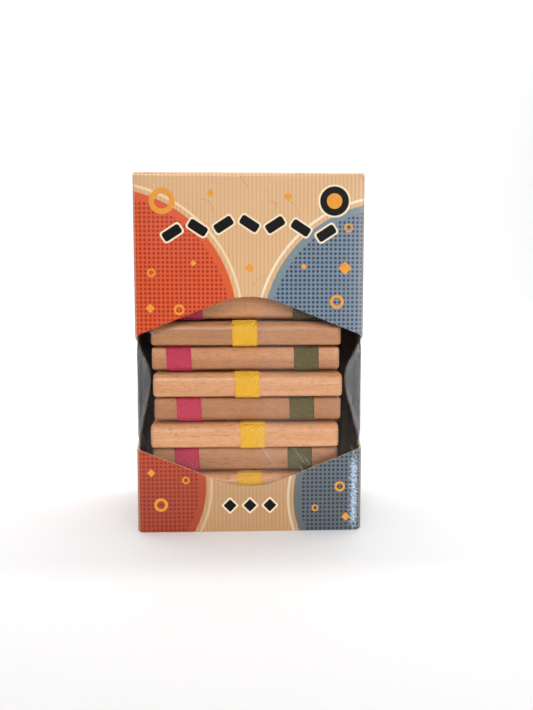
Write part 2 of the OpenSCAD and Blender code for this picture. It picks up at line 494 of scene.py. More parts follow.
        # Laminate: an even gloss with a little orange peel
        peel = node("ShaderNodeTexNoise", {
            "Vector": place, "Scale": self.peel, "Detail": 3.0, "Roughness": 0.6,
        })
        bump = node("ShaderNodeBump", {"Strength": 0.18, "Distance": 0.0002, "Height": peel})
        rough = node("ShaderNodeMath", {0: peel, 1: 0.14, 2: 0.27}, operation="MULTIPLY_ADD")
        rough = node("ShaderNodeMath", {0: scuff_and_painted_sheen, 1: 0.15, 2: rough}, operation="MULTIPLY_ADD")
        shader = node("ShaderNodeBsdfPrincipled", {
            "Base Color": shown, "Roughness": rough, "IOR": 1.5, "Coat Weight": 0.15, "Coat Roughness": 0.16,
            "Normal": bump,
        })
        node("ShaderNodeOutputMaterial", {"Surface": shader})
        return material


@dataclass(frozen=True)
class PlainBoard:
    """The uncoated inside of the boxboard, or its cut edge: matt and fibrous."""

    name: str
    base: str
    dark: str

    def build(self) -> bpy.types.Material:
        """Builds the material on Object coordinates.

        Returns:
            The material.
        """
        material, node = new_material(self.name)
        place = node("ShaderNodeTexCoord").outputs["Object"]
        # Fibres are finer than a pixel, so they are drawn about half a millimetre long, in clouds of 8 mm
        fibre = node(
            "ShaderNodeTexNoise", {"Vector": place, "Scale": 1.9 * PER_MM, "Detail": 4.0, "Roughness": 0.7}
        )
        cloud = node("ShaderNodeTexNoise", {"Vector": place, "Scale": 0.12 * PER_MM, "Detail": 3.0})
        share = node("ShaderNodeMath", {0: fibre, 1: cloud}, operation="MULTIPLY")
        tone = node("ShaderNodeMix", {0: share, 6: linear(self.base), 7: linear(self.dark)}, data_type="RGBA")
        bump = node("ShaderNodeBump", {"Strength": 0.25, "Distance": 0.0001, "Height": fibre})
        shader = node("ShaderNodeBsdfPrincipled", {"Base Color": tone, "Roughness": 0.85, "Normal": bump})
        node("ShaderNodeOutputMaterial", {"Surface": shader})
        return material


@dataclass(frozen=True)
class Ink:
    """A solid offset ink: even, hardly glossy, with a faint mottle."""

    name: str
    base: str
    dark: str

    def build(self) -> bpy.types.Material:
        """Builds the material on Object coordinates.

        Returns:
            The material.
        """
        material, node = new_material(self.name)
        place = node("ShaderNodeTexCoord").outputs["Object"]
        # Ink mottle about a millimetre across
        mottle = node("ShaderNodeTexNoise", {"Vector": place, "Scale": 1.0 * PER_MM, "Detail": 4.0})
        tone = node(
            "ShaderNodeMix", {0: mottle, 6: linear(self.base), 7: linear(self.dark)}, data_type="RGBA"
        )
        rough = node("ShaderNodeMath", {0: mottle, 1: 0.12, 2: 0.28}, operation="MULTIPLY_ADD")
        shader = node(
            "ShaderNodeBsdfPrincipled", {"Base Color": tone, "Roughness": rough, "Specular IOR Level": 0.15}
        )
        node("ShaderNodeOutputMaterial", {"Surface": shader})
        return material


@dataclass(frozen=True)
class ClearFilm:
    """Clear PVC window film.

    The eye sees a colourless sheet with scuffed hairlines, a faint painted sheen right of the middle, and a
    mirror gloss that grows as the sheet turns away. Sizes in metres.
    """

    sheen_left: Spot = (0.002, 0.005)
    sheen_right: Spot = (0.026, 0.006)

    def build_inner(self) -> bpy.types.Material:
        """Builds the inner face, which only lets light through: the outer face has the whole sheet's gloss.

        Returns:
            The material.
        """
        material, node = new_material("clear_pvc_film_inner_face")
        clear = node("ShaderNodeBsdfTransparent", {"Color": (1, 1, 1, 1)})
        node("ShaderNodeOutputMaterial", {"Surface": clear})
        return material

    def find_scuffs_and_painted_sheen(self, node: Adder, place: bpy.types.NodeSocket, wave: bpy.types.Node) -> bpy.types.Node:
        """Finds where the sheet is scuffed, and where a sheen is painted on it.

        Args:
            node: The function that adds nodes to the tree.
            place: The spot in the part's frame.
            wave: The sheet's soft waves.

        Returns:
            The share of the surface that is scuffed, with the painted sheen added.
        """
        # Slanted hairlines a few centimetres long; they are drawn 0.3 mm wide and faint
        turned = node("ShaderNodeMapping", {"Vector": place, "Rotation": (0, 0.6, 0)})
        slanted = node("ShaderNodeMapping", {"Vector": turned, "Scale": (1.0, 1.0, 0.03)})
        hairs = node("ShaderNodeTexNoise", {"Vector": slanted, "Scale": 0.9 * PER_MM, "Detail": 1.0})
        patch = node("ShaderNodeTexNoise", {"Vector": place, "Scale": 0.045 * PER_MM, "Detail": 1.0})
        fine = node("ShaderNodeMapRange", {0: hairs, 1: 0.68, 2: 0.74, 3: 0.0, 4: 0.17})
        where = node("ShaderNodeMapRange", {0: patch, 1: 0.47, 2: 0.58, 3: 0.0, 4: 1.0})
        share = node("ShaderNodeMath", {0: fine, 1: where}, operation="MULTIPLY")
        # Painted reflection: a soft upright sheen right of the middle, drawn as a faint white layer
        across = node("ShaderNodeSeparateXYZ", {0: place}).outputs[0]
        (l_from, l_to), (r_from, r_to) = self.sheen_left, self.sheen_right
        left = node("ShaderNodeMapRange", {0: across, 1: l_from, 2: l_to, 3: 0.0, 4: 0.055})
        right = node("ShaderNodeMapRange", {0: across, 1: r_from, 2: r_to, 3: 0.0, 4: 1.0})
        sheen = node("ShaderNodeMath", {0: left, 1: right}, operation="MULTIPLY")
        sheen = node("ShaderNodeMath", {0: sheen, 1: wave}, operation="MULTIPLY")
        return node("ShaderNodeMath", {0: share, 1: sheen}, operation="ADD")

    def build(self) -> bpy.types.Material:
        """Builds the outer face: straight through, with scuffs and the whole sheet's gloss.

        Returns:
            The material.
        """
        material, node = new_material("clear_pvc_film")
        place = node("ShaderNodeTexCoord").outputs["Object"]
        # Soft waves a few millimetres across, and fine upright drag lines from the roll
        wave = node("ShaderNodeTexNoise", {"Vector": place, "Scale": 0.16 * PER_MM, "Detail": 2.0})
        drawn = node("ShaderNodeMapping", {"Vector": place, "Scale": (1.0, 1.0, 0.06)})
        drag = node("ShaderNodeTexNoise", {"Vector": drawn, "Scale": 0.7 * PER_MM, "Detail": 2.0})
        height = node("ShaderNodeMath", {0: drag, 1: 0.15, 2: wave}, operation="MULTIPLY_ADD")
        bump = node("ShaderNodeBump", {"Strength": 0.22, "Distance": 0.0005, "Height": height})
        gloss = node("ShaderNodeBsdfGlossy", {"Roughness": 0.06, "Normal": bump})
        # The gloss grows with the angle alike from both sides, and a steep look through is a little smoky
        facing = node("ShaderNodeLayerWeight", {"Blend": 0.5, "Normal": bump}).outputs["Facing"]
        steep = node("ShaderNodeMath", {0: facing, 1: 1.7}, operation="POWER")
        smoke = node("ShaderNodeMix", {0: steep, 6: (1, 1, 1, 1), 7: linear("#8E8E96")}, data_type="RGBA")
        clear = node("ShaderNodeBsdfTransparent", {"Color": smoke})
        # Straight on, it is kept under the 4% of the real sheet, or the white studio floor would veil the toy
        mirror = node("ShaderNodeMath", {0: steep, 1: 0.982, 2: 0.018}, operation="MULTIPLY_ADD")
        # A white diffuse layer draws the scuffing and the painted sheen
        scuff_and_painted_sheen = node("ShaderNodeBsdfDiffuse", {"Color": (0.9, 0.9, 0.9, 1)})
        body = node("ShaderNodeMixShader", {0: self.find_scuffs_and_painted_sheen(node, place, wave), 1: clear, 2: scuff_and_painted_sheen})
        shader = node("ShaderNodeMixShader", {0: mirror, 1: body, 2: gloss})
        node("ShaderNodeOutputMaterial", {"Surface": shader})
        return material


class Grain(NamedTuple):
    """One layer of the wood's figure: its marks' size in millimetres, and what of its noise is stained."""

    size: Point
    detail: float
    low: float
    high: float
    most: float
    stain: str


@dataclass(frozen=True)
class LacqueredBeech:
    """Sanded steamed beech under one thin coat of lacquer.

    The eye sees warm tan with soft bands along the grain, short dark ray flecks, and a silky sheen on the
    round edges. Ray flecks are 1 to 3 mm long and a quarter of a millimetre wide, and are drawn twice as wide
    so that they show.
    """

    base: str = "#F6B783"
    bands: Grain = Grain((70.0, 5.0, 3.0), 3.0, 0.3, 0.7, 1.0, "#E8A56F")
    lines: Grain = Grain((22.0, 0.9, 0.7), 4.0, 0.42, 0.75, 0.45, "#CC8F60")
    flecks: Grain = Grain((2.2, 0.9, 0.55), 2.0, 0.56, 0.72, 0.38, "#A86E40")
    pores: Grain = Grain((1.3, 0.5, 0.4), 3.0, 0.54, 0.74, 0.38, "#9A633A")

    def build(self) -> bpy.types.Material:
        """Builds the material on Object coordinates, shifted for each block by its own attribute.

        Returns:
            The material.
        """
        material, node = new_material("lacquered_beech")
        place = node("ShaderNodeTexCoord").outputs["Object"]
        shift = node("ShaderNodeAttribute", attribute_name="board").outputs["Vector"]
        board = node("ShaderNodeVectorMath", {0: place, 1: shift}, operation="ADD")
        tone: Any = linear(self.base)
        heights = []
        for grain in (self.bands, self.lines, self.flecks, self.pores):
            scale = tuple(PER_MM / size for size in grain.size)
            drawn = node("ShaderNodeMapping", {"Vector": board, "Scale": scale})
            height = node("ShaderNodeTexNoise", {"Vector": drawn, "Scale": 1.0, "Detail": grain.detail})
            stained = {0: height, 1: grain.low, 2: grain.high, 3: 0.0, 4: grain.most}
            share = node("ShaderNodeMapRange", stained)
            tone = node("ShaderNodeMix", {0: share, 6: tone, 7: linear(grain.stain)}, data_type="RGBA")
            heights.append(height)
        _, lines, _, pores = heights
        # Each block's tone darkens it: partly its own, partly painted shade on the odd blocks and under the
        # window's top edge
        shade = node("ShaderNodeAttribute", attribute_name="tone").outputs["Fac"]
        tone = node(
            "ShaderNodeMix", {0: shade, 6: tone, 7: linear("#C0B8B0")},
            data_type="RGBA", blend_type="MULTIPLY",
        )
        # Sawn ends show end grain, which is darker
        normal = node("ShaderNodeNewGeometry").outputs["Normal"]
        facing = node("ShaderNodeSeparateXYZ", {0: normal}).outputs[0]
        ends = node("ShaderNodeMath", {0: facing}, operation="ABSOLUTE")
        share = node("ShaderNodeMapRange", {0: ends, 1: 0.75, 2: 0.98, 3: 0.0, 4: 0.55})
        tone = node("ShaderNodeMix", {0: share, 6: tone, 7: linear("#9E6A42")}, data_type="RGBA")
        rough = node("ShaderNodeMath", {0: lines, 1: 0.22, 2: 0.32}, operation="MULTIPLY_ADD")
        bump = node("ShaderNodeBump", {"Strength": 0.22, "Distance": 0.00012, "Height": pores})
        shader = node("ShaderNodeBsdfPrincipled", {
            "Base Color": tone, "Roughness": rough, "IOR": 1.5, "Coat Weight": 0.12, "Coat Roughness": 0.28,
            "Normal": bump,
        })
        node("ShaderNodeOutputMaterial", {"Surface": shader})
        return material


class Hue(Enum):
    """Main, shaded and lit thread colours of the three ribbons."""

    PINK = ("#E03056", "#A01C3E", "#F06A88")
    YELLOW = ("#FFCC24", "#DE9A0C", "#FFE88A")
    GREEN = ("#6E6024", "#3A300E", "#B0A848")


@dataclass(frozen=True)
class TwillRibbon:
    """Narrow polyester twill ribbon: a fine slanting rib, closed selvedges and a satin sheen.

    Twill ribs are 0.3 mm apart on such ribbon; they are drawn 0.95 mm apart so that they show.
    Sizes in metres.
    """

    name: str
    hue: Hue
    rib: float = 0.00095
    weft: float = 0.0007
    selvedge: float = 0.0035

    def build(self) -> bpy.types.Material:
        """Builds the material on the ribbon's own along and across attributes.

        Returns:
            The material.
        """
        material, node = new_material(self.name)
        main, dark, light = (linear(code) for code in self.hue.value)
        along = node("ShaderNodeAttribute", attribute_name="along").outputs["Fac"]
        across = node("ShaderNodeAttribute", attribute_name="across").outputs["Fac"]
        # The weave's height: slanting ribs, crossed by a fainter weft
        slant = node("ShaderNodeMath", {0: along, 1: 0.8, 2: across}, operation="MULTIPLY_ADD")
        turn = node("ShaderNodeMath", {0: slant, 1: 2 * math.pi / self.rib}, operation="MULTIPLY")
        rib = node("ShaderNodeMath", {0: turn}, operation="SINE")
        turn = node("ShaderNodeMath", {0: along, 1: 2 * math.pi / self.weft}, operation="MULTIPLY")
        weft = node("ShaderNodeMath", {0: turn}, operation="SINE")
        weave = node("ShaderNodeMath", {0: weft, 1: 0.35, 2: rib}, operation="MULTIPLY_ADD")
        height = node("ShaderNodeMath", {0: weave, 1: 0.45, 2: 0.5}, operation="MULTIPLY_ADD", use_clamp=True)
        # Painted shade in the gaps, uneven dye, painted glints on the threads and darker selvedges
        spot = node("ShaderNodeCombineXYZ", {0: along, 1: across})
        gaps = node("ShaderNodeMath", {0: height, 1: -0.9, 2: 0.85}, operation="MULTIPLY_ADD")
        tone = node("ShaderNodeMix", {0: gaps, 6: main, 7: dark}, data_type="RGBA")
        blotch = node("ShaderNodeTexNoise", {"Vector": spot, "Scale": 0.42 * PER_MM, "Detail": 3.0})
        uneven = node("ShaderNodeMath", {0: blotch, 1: 0.22}, operation="MULTIPLY")
        tone = node("ShaderNodeMix", {0: uneven, 6: tone, 7: dark}, data_type="RGBA")
        glint = node("ShaderNodeTexNoise", {"Vector": spot, "Scale": 1.9 * PER_MM, "Detail": 2.0})
        bright = node("ShaderNodeMath", {0: glint, 1: 6.0, 2: -3.5}, operation="MULTIPLY_ADD", use_clamp=True)
        thread = node("ShaderNodeMath", {0: bright, 1: height}, operation="MULTIPLY")
        thread = node("ShaderNodeMath", {0: thread, 1: 0.9}, operation="MULTIPLY")
        tone = node("ShaderNodeMix", {0: thread, 6: tone, 7: light}, data_type="RGBA")
        out = node("ShaderNodeMath", {0: across}, operation="ABSOLUTE")
        edge = node("ShaderNodeMath", {0: out, 1: self.selvedge}, operation="GREATER_THAN")
        edge = node("ShaderNodeMath", {0: edge, 1: 0.28}, operation="MULTIPLY")
        tone = node("ShaderNodeMix", {0: edge, 6: tone, 7: dark}, data_type="RGBA")
        bump = node("ShaderNodeBump", {"Strength": 0.85, "Distance": 0.00015, "Height": height})
        shader = node("ShaderNodeBsdfPrincipled", {
            "Base Color": tone, "Roughness": 0.46, "Sheen Weight": 0.2, "Sheen Roughness": 0.4,
            "Normal": bump,
        })
        node("ShaderNodeOutputMaterial", {"Surface": shader})
        return material


@dataclass(frozen=True)
class StudioPaper:
    """The pale matt paper of the sweep that the carton stands on."""

    def build(self) -> bpy.types.Material:
        """Builds the material on Object coordinates.

        Returns:
            The material.
        """
        material, node = new_material("white_studio_paper")
        place = node("ShaderNodeTexCoord").outputs["Object"]
        # The paper's tooth is too fine to show and is drawn about a millimetre across
        tooth = node("ShaderNodeTexNoise", {"Vector": place, "Scale": 0.9 * PER_MM, "Detail": 2.0})
        bump = node("ShaderNodeBump", {"Strength": 0.05, "Distance": 0.0001, "Height": tooth})
        shader = node(
            "ShaderNodeBsdfPrincipled", {"Base Color": linear("#F8F8F8"), "Roughness": 0.9, "Normal": bump}
        )
        node("ShaderNodeOutputMaterial", {"Surface": shader})
        return material


# Carton


class Band(Enum):
    """Which parts of a wall a piece of board has: over the window's middle line, under it, or both."""

    UPPER = (True, False)
    LOWER = (False, True)
    WHOLE = (True, True)


@dataclass(frozen=True)
class Window:
    """Outline of the window on the unfolded board, in millimetres.

    An arc over the front runs out into two straight slopes, which end in a round nose on each side wall. The
    outline is the same under its middle line as over it.
    """

    middle: float = 45.2
    rise: float = 30.4
    slope: float = 0.4
    arc: float = 26.0
    nose: float = 5.0

    def tip(self) -> float:
        """Gives the distance round the carton at which the window ends."""
        root = math.sqrt(1 + self.slope ** 2)
        return (self.rise + self.arc * (root - 1) - self.nose * root) / self.slope + self.nose

    def half(self, s: float) -> float:
        """Gives half the height of the cut.

        Args:
            s: Distance round the carton from the middle of the front.

        Returns:
            Half the height there, or nothing past the nose.
        """
        a, root = abs(s), math.sqrt(1 + self.slope ** 2)
        nose = self.tip() - self.nose
        if a < self.arc * self.slope / root:
            return self.rise - self.arc + math.sqrt(self.arc ** 2 - a * a)
        if a < nose + self.nose * self.slope / root:
            return self.rise + self.arc * (root - 1) - self.slope * a
        return math.sqrt(max(self.nose ** 2 - (a - nose) ** 2, 0.0))


@dataclass
class Carton:
    """The folded board of the carton, its film, lid and flaps. Sizes in millimetres."""

    wide: float = 72.0
    deep: float = 54.0
    tall: float = 114.0
    card: float = 0.5
    window: Window = Window()

    # Folds: outer radius of each kind, and how the ends of the lid's fold are rounded off
    fold: float = 1.2
    top_fold: float = 1.3
    tuck_fold: float = 1.0
    flap_fold: float = 1.25
    flap_crease: float = 0.06
    fold_inset: float = 0.15
    fold_end: float = 0.75

    # Cuts: the seams between the walls' pieces, the gaps at their upper edges and the lid's tab
    seam: float = 2.0
    glue_gap: float = 0.3
    back_gap: float = 0.25
    corner_lift: float = 0.15
    tab_inset: float = 2.0
    tab_corner: float = 3.0
    flap_front: float = 1.2
    flap_rear: float = 0.4

    # Wear: rounded lower corners, a front that curves back to its folds, and soft waves
    foot_rise: float = 0.9
    foot_front: float = 1.8
    foot_side: float = 4.5
    bow_reach: float = 6.5
    bow_depth: float = 0.22
    bow_low: float = 0.36
    bow_from: float = 30.0
    bow_fade: float = 8.0
    wave_depth: float = 0.05

    # Film: it lies behind the cut edges and bulges out through the window
    film_gap: float = 0.05
    film_thick: float = 0.2
    film_fold: float = 1.7
    film_bulge: float = 0.4
    film_rim: float = 0.5
    film_swell: float = 4.0
    film_wave: float = 0.14
    film_crinkle: float = 0.04
    film_crease: float = 0.12
    film_crease_half: float = 5.0

    # Mesh: spacing of the board's columns, and numbers of rows
    column: float = 1.5
    fine: float = 0.4
    coarse: float = 2.0
    rows_upper: int = 26
    rows_lower: int = 16
    across: int = 24
    film_columns: int = 241
    film_rows: int = 57

    printed: bpy.types.Material = field(init=False)
    inside: bpy.types.Material = field(init=False)
    core: bpy.types.Material = field(init=False)
    pieces: list[bpy.types.Object] = field(default_factory=list)

    def __post_init__(self) -> None:
        """Makes the board's finishes."""
        self.printed = PrintedBoard().build()
        self.inside = PlainBoard("uncoated_board_inside", "#A27A54", "#7C583A").build()
        self.core = PlainBoard("cut_board_edge", "#E6CDAE", "#C9A983").build()

    def wall(self, s: float, inset: float, radius: float) -> Spot:
        """Places a spot of the unfolded walls in plan.

        Args:
            s: Distance round the carton from the middle of the front, to the right.
            inset: Depth behind the outer face.
            radius: Outer radius of the upright folds.

        Returns:
            X and Y.
        """
        half_w, half_d = self.wide / 2, self.deep / 2
        corners = (
            (-half_w - self.deep, -1, 1, 90.0), (-half_w, -1, -1, 180.0),
            (half_w, 1, -1, 270.0), (half_w + self.deep, 1, 1, 360.0),
        )
        for at, side, back, turned in corners:
            if abs(s - at) <= radius + 1e-6:
                angle = math.radians(turned + 90.0 * (s - at + radius) / (2 * radius))
                reach = radius - inset
                return (
                    side * (half_w - radius) + reach * math.cos(angle),
                    back * (half_d - radius) + reach * math.sin(angle),
                )
        if s < -half_w:
            return -half_w + inset, -half_d - half_w - s
        if s <= half_w:
            return s, -half_d + inset
        if s <= half_w + self.deep:
            return half_w - inset, -half_d + s - half_w
        return half_w + (half_w + self.deep - s), half_d - inset

    def steps(self) -> list[float]:
        """Lists the columns of the board, close together at the folds and at the window's nose.

        Returns:
            Distances from the middle of the front, from the left rear fold round to the end of the back.
        """
        front, rear, tip, r = self.wide / 2, self.wide / 2 + self.deep, self.window.tip(), self.fold
        bend = [r * (i / 4 - 1) for i in range(9)]
        right = [i * self.column for i in range(23)]
        right += [front - 2 * r + i * self.fine for i in range(3)]
        right += [front + turn for turn in bend]
        right += [front + r + i * self.fine for i in (1, 2)]
        right += [front + i * self.column for i in range(2, 22)]
        right += [tip - self.window.nose * (1 - cosine) for cosine, _ in quarter(12)]
        right += [tip + i * self.coarse for i in range(1, 8)]
        right += [rear + turn for turn in bend]
        right = sorted({round(s, 4) for s in right})
        right = [s for i, s in enumerate(right) if i == 0 or s - right[i - 1] > 0.02 or abs(s - tip) < 0.2]
        left = [-s for s in reversed(right) if s > 0]
        return left + right + [rear + r + i * self.coarse for i in range(1, 35)]

    def top(self, s: float) -> float:
        """Gives the height of a wall's upper edge.

        Args:
            s: Distance round the carton from the middle of the front.

        Returns:
            The height there, which leaves room for the fold or the lid over it.
        """
        front = self.wide / 2
        if abs(s) <= front - self.fold:
            return self.tall - self.top_fold
        if s > front + self.deep + self.fold:
            return self.tall - self.back_gap
        if abs(s) < front + self.fold:
            return self.tall - self.top_fold + self.corner_lift
        return self.tall - self.flap_fold

    def foot(self, s: float) -> float:
        """Gives the height of a wall's lower edge.

        Args:
            s: Distance round the carton from the middle of the front.

        Returns:
            The height there, which is rounded off at the front folds.
        """
        past = abs(s) - self.wide / 2
        near = 1 - past / self.foot_side if past > 0 else 1 + past / self.foot_front
        return self.foot_rise * (1 - math.sqrt(1 - near * near)) if 0 < near <= 1 else 0.0

    def bow(self, s: float, z: float) -> float:
        """Gives how far the front face curves back towards its upright folds, most of all low on the right.

        Args:
            s: Distance round the carton from the middle of the front.
            z: Height.

        Returns:
            The depth behind the flat face.
        """
        front = self.wide / 2
        near = clamp((abs(s) - front + self.bow_reach) / self.bow_reach)
        left = clamp((front + self.fold - abs(s)) / (2 * self.fold))
        low = clamp((self.bow_from - z) / self.bow_fade) if s > 0 else 0.0
        return (self.bow_depth + self.bow_low * low) * near * near * left

    def wave(self, s: float, z: float) -> float:
        """Gives the depth of the board's soft waves, which are about 2 cm across."""
        return self.wave_depth * noise.noise(Vector((s * 0.06, z * 0.05, 3.0)))

    def panel(self, name: str, first: float, last: float, band: Band, node: str) -> None:
        """Builds one stretch of wall as a shell of board with the window cut out of it.

        Args:
            name: The piece's name.
            first: Where it starts round the carton.
            last: Where it ends.
            band: The parts that it has over and under the window's middle line.
            node: The solid that it stands for.
        """
        columns = [first, *(s for s in self.steps() if first < s < last), last]
        tip, middle = self.window.tip(), self.window.middle
        points: list[Point] = []
        uv: list[Spot] = []
        index: dict[tuple[int, int, int], int] = {}

        def corner(i: int, j: int, layer: int) -> int:
            """Finds or makes the point in column i and row j of the outer or inner face.

            Args:
                i: The column.
                j: The row, from 0 up over the window's middle line, and from -1 down under it.
                layer: 0 on the outer face, 1 on the inner.

            Returns:
                The point's number.
            """
            s = columns[i]
            is_cut = abs(s) < tip - 0.01
            key = (i, j if is_cut or j != -1 else 0, layer)
            if key not in index:
                cut = self.window.half(s) if is_cut else 0.0
                if j >= 0:
                    low = middle + cut
                    z = low + (self.top(s) - low) * j / self.rows_upper
                else:
                    high, low = middle - cut, self.foot(s)
                    z = low + (high - low) * (1 + (j + 1) / self.rows_lower)
                x, y = self.wall(s, self.card * layer + self.wave(s, z), self.fold)
                index[key] = len(points)
                points.append((x, y + self.bow(s, z), z))
                uv.append((s, z))
            return index[key]

        faces: list[list[int]] = []
        slots: list[int] = []
        has_upper, has_lower = band.value
        spans = [(0, self.rows_upper)] * has_upper + [(-1 - self.rows_lower, -1)] * has_lower
        cells = [(i, j) for low, high in spans for i in range(len(columns) - 1) for j in range(low, high)]
        for i, j in cells:
            for layer in (0, 1):
                places = ((i, j), (i + 1, j), (i + 1, j + 1), (i, j + 1))
                quad = [corner(a, b, layer) for a, b in places]
                faces.append(quad[::-1] if layer else quad)
                slots.append(layer)
        # The rim closes every edge that only one outer face has
        outer = [face for face, slot in zip(faces, slots) if slot == 0]
        edges = dict.fromkeys(pair for face in outer for pair in zip(face, face[1:] + face[:1]))
        twin = {number: index[(i, j, 1)] for (i, j, layer), number in index.items() if layer == 0}
        rim = [[b, a, twin[a], twin[b]] for a, b in edges if (b, a) not in edges]
        board = [self.printed, self.inside, self.core]
        piece = mesh_piece(name, points, faces + rim, board, slots + [2] * len(rim), uv)
        self.pieces.append(settle(piece, "printed_board", "carton", node))

    def build_walls(self) -> None:
        """Builds the front, the sides and the back."""
        inner, far = self.wide / 2 - self.seam, self.wide / 2 + self.deep
        end = far + self.wide - self.fold - self.glue_gap
        self.panel("front_upper_card", -inner, inner, Band.UPPER, "front_upper_panel")
        self.panel("front_lower_card", -inner, inner, Band.LOWER, "front_lower_panel")
        self.panel("left_side_card", -far - self.fold, -inner, Band.WHOLE, "left_side_panel")
        self.panel("right_side_card", inner, far - self.seam, Band.WHOLE, "right_side_panel")
        self.panel("back_card", far - self.seam, end, Band.WHOLE, "back_panel")

    def sweep(
        self,
        name: str,
        outer: Sequence[Spot],
        inner: Sequence[Spot],
        halves: Sequence[float],
        flat: Sequence[float],
        place: Callable[[float, float, float], Point] = lambda x, a, b: (x, a, b),
    ) -> bpy.types.Object:
        """Sweeps a folded profile of board across its width.

        Args:
            name: The piece's name.
            outer: The profile's printed face, point by point.
            inner: Its inside face.
            halves: Half the width at each profile point.
            flat: Distance of each profile point along the unfolded sheet.
            place: Puts a place across the sheet and a profile point in the part's frame.

        Returns:
            The piece.
        """
        points: list[Point] = []
        uv: list[Spot] = []
        for layer in (outer, inner):
            for (a, b), half, along in zip(layer, halves, flat):
                for i in range(self.across + 1):
                    x = half * (2 * i / self.across - 1)
                    points.append(place(x, a, b))
                    uv.append((x, along))
        faces, slots = sheet_faces(len(outer), self.across + 1)
        return mesh_piece(name, points, faces, [self.printed, self.inside, self.core], slots, uv)

    def build_lid(self) -> None:
        """Builds the lid with its tuck tab."""
        low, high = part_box("top_lid")
        rear, tip, reach = high.y / MM, low.z / MM, high.x / MM
        start, top, r, corner = self.top_fold - self.deep / 2, self.tall, self.tuck_fold, self.tab_corner
        outer = [(start + (rear - r - start) * i / 30, top) for i in range(31)]
        inner = [(y, top - self.card) for y, _ in outer]
        for cosine, sine in quarter(8)[1:]:
            for rows, radius in ((outer, r), (inner, r - self.card)):
                rows.append((rear - r + radius * sine, top - r + radius * cosine))
        levels = [top - r + (tip - top + r) * i / 16 for i in range(1, 17)]
        outer += [(rear, z) for z in levels]
        inner += [(rear - self.card, z) for z in levels]
        flat = [top]
        for (a, b), (c, d) in zip(outer, outer[1:]):
            flat.append(flat[-1] + math.hypot(c - a, d - b))
        # The tab is narrower than the lid, with round corners
        halves = [reach] * (len(outer) - len(levels))
        for z in levels:
            left = max(corner - (z - tip), 0.0)
            halves.append(reach - self.tab_inset - corner + math.sqrt(corner ** 2 - left * left))
        lid = self.sweep("lid_card", outer, inner, halves, flat)
        self.pieces.append(settle(lid, "printed_board", "lid", "top_lid"))

    def build_lid_fold(self) -> None:
        """Builds the rounded fold that carries the lid on the front."""
        front, top, r, steps = -self.deep / 2, self.tall, self.top_fold, 8
        outer, inner, halves = [], [], []
        for cosine, sine in quarter(steps):
            for rows, radius in ((outer, r), (inner, r - self.card)):
                rows.append((front + r - radius * cosine, top - r + radius * sine))
            halves.append(self.wide / 2 - self.fold_inset - self.fold_end * (1 - cosine))
        flat = [top - r + r * math.pi / 2 * i / steps for i in range(steps + 1)]
        bend = self.sweep("lid_fold", outer, inner, halves, flat)
        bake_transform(bend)
        self.pieces.append(bend)

    def build_flap_folds(self) -> None:
        """Builds the rounded folds that carry the two dust flaps on the side walls."""
        edge, steps = self.wide / 2, 6
        for side, body in ((-1, "dust_flap_left"), (1, "dust_flap_right")):
            low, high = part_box(f"top_{body}")
            z0, z1 = self.tall - self.flap_fold, high.z / MM
            r = z1 - z0
            outer, inner = [], []
            for cosine, sine in quarter(steps):
                for rows, radius in ((outer, r), (inner, self.flap_crease)):
                    rows.append((edge - r + radius * cosine, z0 + radius * sine))
            flat = [z0 + r * math.pi / 2 * i / steps for i in range(steps + 1)]
            y0, y1 = low.y / MM + self.flap_front, high.y / MM - self.flap_rear
            middle, halves = (y0 + y1) / 2, [(y1 - y0) / 2] * len(outer)
            bend = self.sweep(
                f"{body}_fold", outer, inner, halves, flat, lambda x, a, b: (side * a, middle + side * x, b)
            )
            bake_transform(bend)
            self.pieces.append(bend)

    def film_depth(self, s: float, z: float) -> float:
        """Gives how deep the film's outer face lies behind the board's, with the soft waves of thin sheet.

        Args:
            s: Distance round the carton from the middle of the front.
            z: Height.

        Returns:
            The depth, which is smaller where the film bulges out through the window.
        """
        soft = noise.noise(Vector((s * 0.085, z * 0.05, 7.0)))
        small = noise.noise(Vector((s * 0.32, z * 0.09, 1.0)))
        near = math.exp(-((abs(s) - self.wide / 2) / self.film_crease_half) ** 2)
        cut = self.window.half(s) if abs(s) < self.window.tip() else 0.0
        room = cut - abs(z - self.window.middle)
        bulge = self.film_bulge * clamp((room - self.film_rim) / self.film_swell)
        lip = self.card + self.film_gap
        crinkle = self.film_crinkle + self.film_crease * near
        depth = lip + self.film_wave * (soft + 0.5) + crinkle * (small + 0.5)
        return max(depth, lip) - bulge

    def build_film(self) -> None:
        """Builds the film that is bent round the inside of the window."""
        low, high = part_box("window_film")
        bottom, top, back = low.z / MM, high.z / MM, high.y / MM
        reach = self.wide / 2 + back + self.deep / 2
        last_column, last_row = self.film_columns - 1, self.film_rows - 1
        columns = [-reach + 2 * reach * i / last_column for i in range(self.film_columns)]
        rows = [bottom + (top - bottom) * j / last_row for j in range(self.film_rows)]
        points: list[Point] = []
        for layer in (0.0, self.film_thick):
            for z in rows:
                spots = [self.wall(s, self.film_depth(s, z) + layer, self.film_fold) for s in columns]
                points += [(x, y, z) for x, y in spots]
        faces, slots = sheet_faces(self.film_rows, self.film_columns)
        inner_face = ClearFilm().build_inner()
        film = mesh_piece("film_sheet", points, faces, [ClearFilm().build(), inner_face, inner_face], slots)
        self.pieces.append(settle(film, "clear_film", "carton", "window_film"))

    def dress_solids(self) -> None:
        """Gives the hidden flaps, the bottom and the glued strip the board's own finish."""
        for name in (
            "glue_flap", "bottom_lid", "bottom_dust_flap_left", "bottom_dust_flap_right",
            "top_dust_flap_left", "top_dust_flap_right",
        ):
            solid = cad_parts[name]
            solid.data.materials.clear()
            solid.data.materials.append(self.inside)

